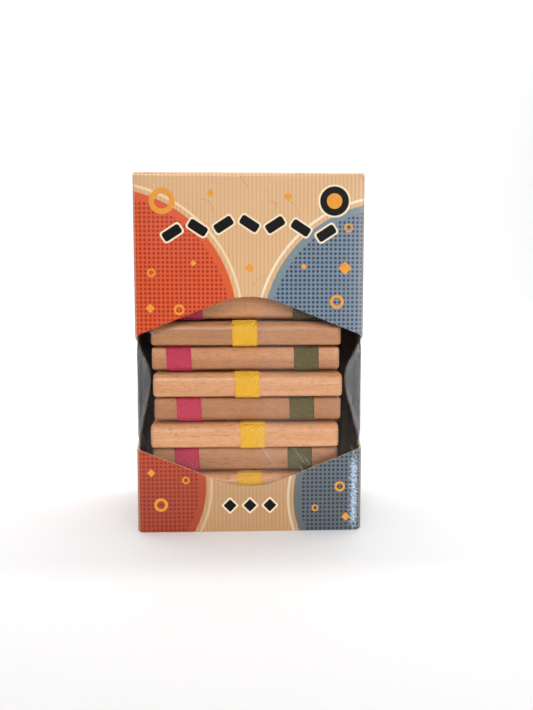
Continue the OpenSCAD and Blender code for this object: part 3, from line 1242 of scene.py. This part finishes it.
    def build(self) -> None:
        """Builds and dresses the whole carton."""
        self.build_walls()
        self.build_lid()
        self.build_lid_fold()
        self.build_flap_folds()
        self.build_film()
        self.dress_solids()


# Print


class Mark(Enum):
    """Shapes that the print scatters on the colour fields, as the number of corners of the shape."""

    RING = 40
    DIAMOND = 4


class Layer(Enum):
    """The inks of the flat shapes in the order of printing, as material slots."""

    CREAM = 0
    BLACK = 1
    AMBER = 2


class Plate(NamedTuple):
    """One flat shape of the print, with round corners. Sizes in millimetres, the lean in degrees."""

    x: float
    z: float
    half: float
    tall: float
    corner: float
    lean: float
    layer: Layer = Layer.BLACK

    def outline(self, border: float, rounder: float) -> "Plate":
        """Gives the paler and slightly larger shape under this one.

        Args:
            border: How far it stands out all round.
            rounder: How much larger its corners' radius is.

        Returns:
            The shape.
        """
        half, tall, corner = self.half + border, self.tall + border, self.corner + rounder
        return Plate(self.x, self.z, half, tall, corner, self.lean, Layer.CREAM)

    def corners(self) -> list[Spot]:
        """Lists the shape's outline.

        Returns:
            Places across and up, anticlockwise.
        """
        spots = []
        lean = math.radians(self.lean)
        across, up = self.half - self.corner, self.tall - self.corner
        for q, (sx, sz) in enumerate(QUADRANTS):
            for i in range(9):
                turn = math.pi / 2 * (q + i / 8.5)
                a = sx * across + self.corner * math.cos(turn)
                b = sz * up + self.corner * math.sin(turn)
                spots.append((
                    self.x + a * math.cos(lean) - b * math.sin(lean),
                    self.z + a * math.sin(lean) + b * math.cos(lean),
                ))
        return spots


@dataclass
class FrontPrint:
    """The front's ornaments: an arch of bars, a roundel, rings and diamonds. Sizes in millimetres."""

    face: float = -27.0
    lift: float = 0.03
    rings: tuple[Point, ...] = (
        (-27.0, 105.0, 4.0), (-22.0, 71.5, 1.7), (-30.5, 83.0, 1.3), (27.5, 74.0, 2.2), (31.0, 97.0, 1.4),
        (-28.5, 9.0, 2.2), (-20.5, 17.0, 1.2), (29.0, 14.5, 1.7), (21.0, 7.5, 1.1),
    )
    diamonds: tuple[Point, ...] = (
        (-31.0, 72.0, 1.5), (-12.0, 107.5, 1.2), (0.0, 84.5, 1.5), (30.0, 84.5, 2.1), (12.0, 106.5, 1.4),
        (-31.5, 19.5, 1.3), (31.0, 4.5, 1.4), (-17.5, 86.0, 1.0), (17.0, 85.0, 1.0),
    )
    ring_hole: float = 0.58
    diamond_hole: float = 0.02
    roundel: Spot = (26.5, 105.2)
    border: float = 0.55
    border_rounder: float = 0.3

    def tree(self, mark: Mark) -> bpy.types.NodeTree:
        """Makes the nodes that set one flat mark on every point, as large as the point's own size.

        Args:
            mark: The shape.

        Returns:
            The tree, with the hole's share of the size and the material as inputs.
        """
        group, node = new_group(
            f"print_{mark.name.lower()}", {"Hole": "NodeSocketFloat", "Material": "NodeSocketMaterial"}
        )
        source = node("NodeGroupInput").outputs
        disc = node("GeometryNodeMeshCircle", {"Vertices": mark.value, "Radius": 1.0}, fill_type="NGON")
        inner = node(
            "GeometryNodeExtrudeMesh", {"Mesh": disc, "Offset Scale": 0.0, "Individual": False}, mode="FACES"
        )
        middle = inner.outputs["Top"]
        shrunk = node("GeometryNodeScaleElements", {
            "Geometry": inner, "Selection": middle, "Scale": source["Hole"],
        })
        opened = node("GeometryNodeDeleteGeometry", {"Geometry": shrunk, "Selection": middle}, domain="FACE")
        size = node("GeometryNodeInputNamedAttribute", {"Name": "size"}, data_type="FLOAT")
        spread = node("GeometryNodeInstanceOnPoints", {
            "Points": source["Geometry"], "Instance": opened,
            "Rotation": (math.pi / 2, 0.0, 0.0), "Scale": size,
        })
        whole = node("GeometryNodeRealizeInstances", {0: spread})
        dressed = node("GeometryNodeSetMaterial", {"Geometry": whole, "Material": source["Material"]})
        node("NodeGroupOutput", {0: dressed})
        return group

    def scatter(
        self, name: str, mark: Mark, spots: Sequence[Point], hole: float, ink: bpy.types.Material
    ) -> bpy.types.Object:
        """Prints one kind of mark at its places on the front.

        Args:
            name: The piece's name.
            mark: The shape.
            spots: Place across and up, and half the size, of each mark.
            hole: The open middle's share of the size.
            ink: The material.

        Returns:
            The piece.
        """
        mesh = bpy.data.meshes.new(f"{name}_places")
        mesh.from_pydata([(x * MM, (self.face - self.lift) * MM, z * MM) for x, z, _ in spots], [], [])
        sizes = mesh.attributes.new("size", "FLOAT", "POINT")
        sizes.data.foreach_set("value", [half * MM for _, _, half in spots])
        return run_group(name, mesh, self.tree(mark), {"Hole": hole, "Material": ink})

    def plates(self) -> list[Plate]:
        """Lists the flat shapes of the print, each after the outline under it.

        Returns:
            The arch of seven bars, the roundel and three small diamonds under the window.
        """
        shapes = [
            Plate(8.0 * n, 98.2 - 0.32 * n * n, 3.1, 1.5, 0.8, 33.0 if n % 2 else -33.0) for n in range(-3, 4)
        ]
        shapes += [Plate(*self.roundel, 4.5, 4.5, 4.5, 0.0)]
        shapes += [Plate(6.4 * n, 8.6, 1.5, 1.5, 0.3, 45.0) for n in (-1, 0, 1)]
        plates: list[Plate] = []
        for shape in shapes:
            plates += [shape.outline(self.border, self.border_rounder), shape]
        return plates + [Plate(*self.roundel, 2.4, 2.4, 2.4, 0.0, Layer.AMBER)]

    def draw_plates(self, inks: Sequence[bpy.types.Material]) -> bpy.types.Object:
        """Draws the flat shapes a hair in front of the board, the later inks in front of the earlier.

        Args:
            inks: The materials, in the order of the layers.

        Returns:
            The piece.
        """
        points: list[Point] = []
        faces: list[list[int]] = []
        slots: list[int] = []
        for plate in self.plates():
            spots = plate.corners()
            faces.append([len(points) + i for i in range(len(spots))])
            slots.append(plate.layer.value)
            y = self.face - self.lift * (plate.layer.value + 1)
            points += [(x, y, z) for x, z in spots]
        return mesh_piece("print_plates", points, faces, inks, slots)

    def build(self) -> list[bpy.types.Object]:
        """Prints all the ornaments and lets them ride on the carton.

        Returns:
            The pieces.
        """
        amber = Ink("amber_ink", "#EBA344", "#D98A2C").build()
        cream = Ink("cream_ink", "#F4E3C6", "#E8D2AE").build()
        black = Ink("black_ink", "#0D0C0C", "#060606").build()
        made = [
            self.scatter("print_rings", Mark.RING, self.rings, self.ring_hole, amber),
            self.scatter("print_diamonds", Mark.DIAMOND, self.diamonds, self.diamond_hole, amber),
            self.draw_plates([cream, black, amber]),
        ]
        return [settle(piece, "printed_board", "carton") for piece in made]


# Ladder


class Side(Enum):
    """The end of a block that a ribbon goes round, as its direction along Y."""

    FRONT = -1
    REAR = 1

    @classmethod
    def of_hinge(cls, k: int) -> "Side":
        """Gives the end at which hinge k, between blocks k and k + 1, has its ribbons."""
        return cls.FRONT if k % 2 else cls.REAR


class Course(Enum):
    """The way in which a ribbon goes round a block on its way to the next, as a direction along Z."""

    RISING = 1
    FALLING = -1


@dataclass(frozen=True)
class Ribbon:
    """One of the three ribbons: its colours, its course, and its lean over a block's end in millimetres."""

    hue: Hue
    course: Course
    lean: float

    @property
    def name(self) -> str:
        """Gives the ribbon's name in the solids."""
        return f"{self.hue.name.lower()}_ribbon"

    def middle(self, k: int) -> float:
        """Gives the ribbon's place across block k."""
        low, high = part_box(f"{self.name}_{k:02d}")
        return (low.x + high.x) / 2 / MM

    def turn(self, k: int, flat: Sequence[Spot]) -> list[Point]:
        """Sets a turn round the end of block k a little aslant, as the hand that threaded it left it.

        Args:
            k: The block.
            flat: Y and Z of the turn.

        Returns:
            The turn in the part's frame.
        """
        x, last = self.middle(k), len(flat) - 1
        return [(x + self.lean * (0.5 - i / last), y, z) for i, (y, z) in enumerate(flat)]


@dataclass
class Ladder:
    """The blocks and the three ribbons that join them. Sizes in millimetres."""

    # Blocks: radii of their hinge edges, easing of their sawn ends, and the unevenness of sanding
    edge: float = 1.5
    crisp: float = 0.7
    nose: float = 2.8
    least: float = 0.4
    ease: float = 1.25
    corner: float = 1.6
    sway: float = 0.05
    dents: float = 0.03
    # Tone of each block from the bottom, partly its own and partly painted shade: the odd blocks and block 8
    # under the window's top edge are darkened, and the odd blocks more towards their bottom
    tone_and_painted_shade: tuple[float, ...] = (0.70, 0.20, 0.92, 0.12, 1.00, 0.28, 0.66, 0.78, 0.40, 0.10)
    painted_shade_slope: float = 0.36

    # Ribbons: how far off the wood their middle lies, and their way from one block to the next
    ribbon_wide: float = 8.0
    ribbon_thick: float = 0.28
    off: float = 0.2
    change: float = 4.0
    tail: float = 10.0
    bend_from: float = 0.15
    bend_to: float = 1.75
    ribbons: tuple[Ribbon, ...] = (
        Ribbon(Hue.PINK, Course.RISING, 0.85),
        Ribbon(Hue.GREEN, Course.RISING, 0.3),
        Ribbon(Hue.YELLOW, Course.FALLING, -0.2),
    )

    # Mesh: steps of a hinge edge, of an eased end, along a block, across it, and along a ribbon
    turns: int = 8
    end_turns: int = 6
    along: int = 44
    cuts: int = 10
    run_steps: int = 36

    wood: bpy.types.Material = field(init=False)
    ribbon_nodes: bpy.types.NodeTree = field(init=False)
    pieces: list[bpy.types.Object] = field(default_factory=list)

    def __post_init__(self) -> None:
        """Makes the wood's finish and the nodes that sweep a ribbon."""
        self.wood = LacqueredBeech().build()
        self.ribbon_nodes = self.make_ribbon_nodes()

    def block_box(self, k: int) -> tuple[Vector, Vector]:
        """Gives the lowest and highest corners of a block."""
        low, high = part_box(f"block_{k:02d}")
        return low / MM, high / MM

    def radius(self, k: int, side: int, up: int) -> float:
        """Gives a hinge edge's radius.

        A block has a round and a crisp front edge, and every second one lies turned over.

        Args:
            k: The block.
            side: The edge's direction along Y.
            up: Its direction along Z.

        Returns:
            The radius.
        """
        if side > 0:
            return self.edge
        if (k % 2 == 0) != (up > 0):
            return self.crisp
        return self.edge if k % 2 else self.nose

    def section(self, k: int, half: Vector, thin_y: float, thin_z: float) -> list[tuple[float, ...]]:
        """Lists the points round a block's cross-section.

        Args:
            k: The block.
            half: Half its size.
            thin_y: How far its end is eased there along Y.
            thin_z: How far along Z.

        Returns:
            Y and Z of each point, and Y and Z of the direction that it faces.
        """
        hy, hz = half.y - thin_y, half.z - thin_z
        ring: list[tuple[float, ...]] = []
        for q, (sy, sz) in enumerate(QUADRANTS):
            r = max(self.radius(k, sy, sz) - thin_z, self.least)
            for i in range(self.turns + 1):
                turn = math.pi / 2 * (q + i / self.turns)
                up, out = math.sin(turn), math.cos(turn)
                ring.append((sy * (hy - r) + r * out, sz * (hz - r) + r * up, out, up))
            if q in (0, 2):
                other = max(self.radius(k, -sy, sz) - thin_z, self.least)
                start, stop = sy * (hy - r), -sy * (hy - other)
                spots = [start + (stop - start) * i / self.cuts for i in range(1, self.cuts)]
                ring += [(y, sz * hz, 0.0, float(sz)) for y in spots]
        return ring

    def build_block(self, k: int) -> None:
        """Builds one block with round hinge edges, eased sawn ends and the small unevenness of sanding.

        Args:
            k: Its number, counted from the bottom.
        """
        low, high = self.block_box(k)
        middle, half = (low + high) / 2, (high - low) / 2
        inner = half.x - self.ease
        ends = [
            (-half.x + self.ease * (1 - cosine), self.corner * (1 - sine), self.ease * (1 - sine))
            for cosine, sine in quarter(self.end_turns)
        ]
        rings = ends + [(-inner + 2 * inner * i / self.along, 0.0, 0.0) for i in range(1, self.along)]
        rings += [(-x, thin_y, thin_z) for x, thin_y, thin_z in reversed(ends)]
        points: list[Point] = []
        for x, thin_y, thin_z in rings:
            for y, z, face_y, face_z in self.section(k, half, thin_y, thin_z):
                worn = self.sway * noise.noise(Vector((x * 0.05 + 9.0 * k, y * 0.08, z * 0.15)))
                worn -= self.dents * abs(noise.noise(Vector((x * 0.6, y * 0.5 + 5.0 * k, z * 0.5))))
                points.append((middle.x + x, middle.y + y + face_y * worn, middle.z + z + face_z * worn))
        row = len(points) // len(rings)
        faces: list[list[int]] = []
        for start in range(0, len(points) - row, row):
            for i in range(row):
                a, b = start + i, start + (i + 1) % row
                faces.append([a, b, b + row, a + row])
        faces.append(list(range(row))[::-1])
        faces.append(list(range(len(points) - row, len(points))))
        piece = mesh_piece(f"wood_block_{k:02d}", points, faces, [self.wood], sharp=60.0)
        self.figure(piece.data, k, middle.z, half.z)
        self.pieces.append(settle(piece, "wood", f"ladder_block_{k:02d}", f"block_{k:02d}"))

    def figure(self, mesh: bpy.types.Mesh, k: int, middle: float, half: float) -> None:
        """Gives a block its own stretch of the wood's figure, and its tone with painted shade.

        Args:
            mesh: The block's mesh.
            k: Its number. Odd ones get painted shade that grows towards their bottom.
            middle: Height of its middle.
            half: Half its thickness.
        """
        # Uneven steps, in metres, so that no two blocks show the same stretch
        shift = (0.113 * k, 0.047 * ((k * 7) % 11), 0.031 * ((k * 5) % 13))
        board = mesh.attributes.new("board", "FLOAT_VECTOR", "POINT")
        board.data.foreach_set("vector", [c for _ in mesh.vertices for c in shift])
        painted_shade_slope = self.painted_shade_slope if k % 2 else 0.0
        tone_and_painted_shade = [self.tone_and_painted_shade[k - 1] - painted_shade_slope * (v.co.z / MM - middle) / half for v in mesh.vertices]
        mesh.attributes.new("tone", "FLOAT", "POINT").data.foreach_set("value", tone_and_painted_shade)

    def make_ribbon_nodes(self) -> bpy.types.NodeTree:
        """Makes the nodes that sweep a flat ribbon along a path, with its width across X.

        Returns:
            The tree, with the width, the thickness and the material as inputs.
        """
        group, node = new_group("ribbon_sweep", {
            "Width": "NodeSocketFloat", "Thickness": "NodeSocketFloat", "Material": "NodeSocketMaterial",
        })
        source = node("NodeGroupInput").outputs
        line = node("GeometryNodeMeshToCurve", {"Mesh": source["Geometry"]})
        turned = node("GeometryNodeSetCurveNormal", {"Curve": line, "Normal": (1.0, 0.0, 0.0)}, mode="FREE")
        length = node("GeometryNodeSplineParameter").outputs["Length"]
        marked = node(
            "GeometryNodeStoreNamedAttribute", {"Geometry": turned, "Name": "along", "Value": length},
            data_type="FLOAT", domain="POINT",
        )
        section = node("GeometryNodeCurvePrimitiveQuadrilateral", {
            "Width": source["Width"], "Height": source["Thickness"],
        })
        finer = node("GeometryNodeSubdivideCurve", {"Curve": section, "Cuts": 7})
        spot = node("ShaderNodeSeparateXYZ", {0: node("GeometryNodeInputPosition")}).outputs[0]
        wide = node(
            "GeometryNodeStoreNamedAttribute", {"Geometry": finer, "Name": "across", "Value": spot},
            data_type="FLOAT", domain="POINT",
        )
        swept = node("GeometryNodeCurveToMesh", {"Curve": marked, "Profile Curve": wide, "Fill Caps": True})
        whole = node("GeometryNodeRealizeInstances", {0: swept})
        dressed = node("GeometryNodeSetMaterial", {"Geometry": whole, "Material": source["Material"]})
        node("NodeGroupOutput", {0: dressed})
        return group

    def sweep(self, name: str, path: Sequence[Point], finish: bpy.types.Material) -> bpy.types.Object:
        """Sweeps a ribbon along a path.

        Args:
            name: The piece's name.
            path: Points of the ribbon's middle line.
            finish: The material.

        Returns:
            The piece, as one closed shell.
        """
        mesh = bpy.data.meshes.new(f"{name}_path")
        places = [(x * MM, y * MM, z * MM) for x, y, z in path]
        mesh.from_pydata(places, [(i, i + 1) for i in range(len(path) - 1)], [])
        piece = run_group(name, mesh, self.ribbon_nodes, {
            "Width": self.ribbon_wide * MM, "Thickness": self.ribbon_thick * MM, "Material": finish,
        })
        shell = bmesh.new()
        shell.from_mesh(piece.data)
        bmesh.ops.remove_doubles(shell, verts=shell.verts, dist=1e-7)
        bmesh.ops.recalc_face_normals(shell, faces=shell.faces)
        shell.to_mesh(piece.data)
        shell.free()
        piece.data.polygons.foreach_set("use_smooth", [True] * len(piece.data.polygons))
        piece.data.set_sharp_from_angle(angle=math.radians(50.0))
        return piece

    def wrap(self, k: int, side: Side, course: Course) -> list[Spot]:
        """Follows a ribbon round one end of a block.

        Args:
            k: The block.
            side: The end that it goes round.
            course: The way that it goes.

        Returns:
            Y and Z of the path.
        """
        low, high = self.block_box(k)
        middle, half = (low + high) / 2, (high - low) / 2
        up = course.value
        first, second = self.radius(k, side.value, -up), self.radius(k, side.value, up)
        bends = quarter(8)
        path = [
            (half.y - first + (first + self.off) * sine, first - half.z - (first + self.off) * cosine)
            for cosine, sine in bends
        ]
        rise = half.z - second - (first - half.z)
        path += [(half.y + self.off, first - half.z + rise * i / 6) for i in range(1, 6)]
        path += [
            (half.y - second + (second + self.off) * cosine, half.z - second + (second + self.off) * sine)
            for cosine, sine in bends
        ]
        return [(middle.y + side.value * y, middle.z + up * z) for y, z in path]

    def build_strip(self, ribbon: Ribbon, finish: bpy.types.Material, k: int) -> None:
        """Builds the stretch of ribbon that crosses a hinge: round one block's end and along the next block.

        Args:
            ribbon: The ribbon. A rising one is held by the lower block, a falling one by the upper.
            finish: Its material.
            k: The hinge, between blocks k and k + 1.
        """
        side, up = Side.of_hinge(k), ribbon.course.value
        holder, runner = (k, k + 1) if up > 0 else (k + 1, k)
        path = ribbon.turn(holder, self.wrap(holder, side, ribbon.course))
        low, high = self.block_box(runner)
        level = low.z - self.off if up > 0 else high.z + self.off
        end = high.y - self.edge if side is Side.FRONT else low.y + self.edge
        x0, y0, z0 = path[-1]
        x_end = ribbon.middle(runner) + ribbon.lean / 2
        for i in range(1, self.run_steps + 1):
            t = i / self.run_steps
            y = y0 + (end - y0) * t
            rise = min(abs(y - y0) / self.change, 1.0)
            path.append((x0 + (x_end - x0) * t, y, z0 + (level - z0) * rise * rise * (3 - 2 * rise)))
        piece = self.sweep(f"{ribbon.name}_hinge_{k:02d}", path, finish)
        low, high = self.block_box(holder)
        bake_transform(piece)
        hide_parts(f"{ribbon.name}_{holder:02d}")
        ribbon.name
        self.pieces.append(piece)

    def build_ends(self, ribbon: Ribbon, finish: bpy.types.Material) -> None:
        """Builds a ribbon's two glued ends: its tail on one outer block and its last turn on the other.

        Args:
            ribbon: The ribbon.
            finish: Its material.
        """
        up = ribbon.course.value
        first, last = (1, BLOCKS) if up > 0 else (BLOCKS, 1)
        path = ribbon.turn(last, self.wrap(last, Side.REAR, ribbon.course))
        turn = self.sweep(f"{ribbon.name}_end", path, finish)
        settle(turn, ribbon.name, f"ladder_block_{last:02d}", f"{ribbon.name}_{last:02d}")
        low, high = self.block_box(first)
        x = ribbon.middle(first) + ribbon.lean / 2
        y = low.y + self.radius(first, Side.FRONT.value, -up)
        z = low.z - self.off if up > 0 else high.z + self.off
        tail = self.sweep(f"{ribbon.name}_tail", [(x, y + self.tail * i / 8, z) for i in range(9)], finish)
        settle(tail, ribbon.name, f"ladder_block_{first:02d}")
        self.pieces += [turn, tail]

    def build(self) -> None:
        """Builds the blocks, then the ribbons over them."""
        for k in range(1, BLOCKS + 1):
            self.build_block(k)
        for ribbon in self.ribbons:
            finish = TwillRibbon(f"{ribbon.hue.name.lower()}_twill_ribbon", ribbon.hue).build()
            for k in range(1, BLOCKS):
                self.build_strip(ribbon, finish, k)
            self.build_ends(ribbon, finish)


# Studio


@dataclass(frozen=True)
class Lamp:
    """A soft rectangular lamp. Sizes in metres, power in watts, and the spread of its beam in degrees."""

    name: str
    place: Point
    aim: Point
    size: Spot
    power: float
    spread: float

    def hang(self) -> None:
        """Hangs the lamp in the scene."""
        data = bpy.data.lights.new(self.name, "AREA")
        data.shape = "RECTANGLE"
        data.size, data.size_y = self.size
        data.energy = self.power
        data.spread = math.radians(self.spread)
        lamp = bpy.data.objects.new(self.name, data)
        lamp.location = self.place
        lamp.rotation_euler = (Vector(self.aim) - Vector(self.place)).to_track_quat("-Z", "Y").to_euler()
        bpy.context.scene.collection.objects.link(lamp)


@dataclass
class Studio:
    """A pale paper sweep, soft lamps and the camera. Sizes in metres."""

    floor_front: float = -1.6
    floor_rear: float = 0.9
    cove: float = 0.6
    wall_tall: float = 2.4
    half_wide: float = 2.2
    lamps: tuple[Lamp, ...] = (
        Lamp("key", (-0.08, -0.62, 0.50), (0.0, -0.02, 0.08), (0.26, 0.20), 0.126, 40.0),
        Lamp("fill", (0.0, -0.90, 0.42), (0.0, -0.02, 0.07), (0.5, 0.24), 0.095, 40.0),
        Lamp("top", (0.05, 0.05, 0.9), (0.0, 0.1, 0.0), (0.7, 0.6), 0.95, 100.0),
        Lamp("strip", (0.25, -0.49, 0.10), (0.03, -0.02, 0.03), (0.07, 0.18), 0.07, 50.0),
        Lamp("wall", (0.0, 0.35, 1.3), (0.0, 1.5, 0.5), (1.8, 0.6), 24.0, 180.0),
    )
    room_light: float = 0.16
    target: Point = (0.00532, -0.027, 0.05722)
    distance: float = 0.2276
    azimuth: float = -2.25
    elevation: float = 5.50
    focal_pixels: float = 720.0
    picture_tall: float = 710.0
    sensor: float = 36.0

    def build_sweep(self) -> None:
        """Builds the floor and the wall behind it as one curved sheet."""
        profile = [(self.floor_front, 0.0)]
        profile += [(self.floor_rear + self.cove * s, self.cove - self.cove * c) for c, s in quarter(16)]
        profile += [(self.floor_rear + self.cove, self.wall_tall)]
        points = [(x / MM, y / MM, z / MM) for y, z in profile for x in (-self.half_wide, self.half_wide)]
        faces = [[2 * i, 2 * i + 1, 2 * i + 3, 2 * i + 2] for i in range(len(profile) - 1)]
        mesh_piece("paper_sweep", points, faces, [StudioPaper().build()])

    def build_lamps(self) -> None:
        """Hangs the lamps and sets the room's own soft light."""
        for lamp in self.lamps:
            lamp.hang()
        world = bpy.data.worlds.new("room")
        world.use_nodes = True
        bpy.context.scene.world = world
        background = world.node_tree.nodes["Background"]
        background.inputs["Color"].default_value = linear("#FAFBFF")
        background.inputs["Strength"].default_value = self.room_light

    def build_camera(self) -> None:
        """Sets the camera at the photograph's viewing angle."""
        az, el = math.radians(self.azimuth), math.radians(self.elevation)
        away = Vector((math.sin(az) * math.cos(el), -math.cos(az) * math.cos(el), math.sin(el)))
        data = bpy.data.cameras.new("camera")
        data.sensor_width = self.sensor
        data.lens = self.sensor * self.focal_pixels / self.picture_tall
        data.clip_start = 0.01
        camera = bpy.data.objects.new("camera", data)
        camera.location = Vector(self.target) + away * self.distance
        camera.rotation_euler = (-away).to_track_quat("-Z", "Y").to_euler()
        bpy.context.scene.collection.objects.link(camera)
        bpy.context.scene.camera = camera

    def build(self) -> None:
        """Builds the whole studio."""
        self.build_sweep()
        self.build_lamps()
        self.build_camera()
        bpy.context.scene.view_settings.view_transform = "Standard"


def main() -> None:
    """Builds every sub-assembly in order and reports its pieces."""
    logging.basicConfig(level=logging.INFO, format="%(message)s")
    studio, carton, ladder = Studio(), Carton(), Ladder()
    studio.build()
    carton.build()
    prints = FrontPrint().build()
    ladder.build()
    for piece in carton.pieces + prints + ladder.pieces:
        LOG.info("%s: %d faces", piece.name, len(piece.data.polygons))
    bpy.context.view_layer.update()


if __name__ == "__main__":
    main()
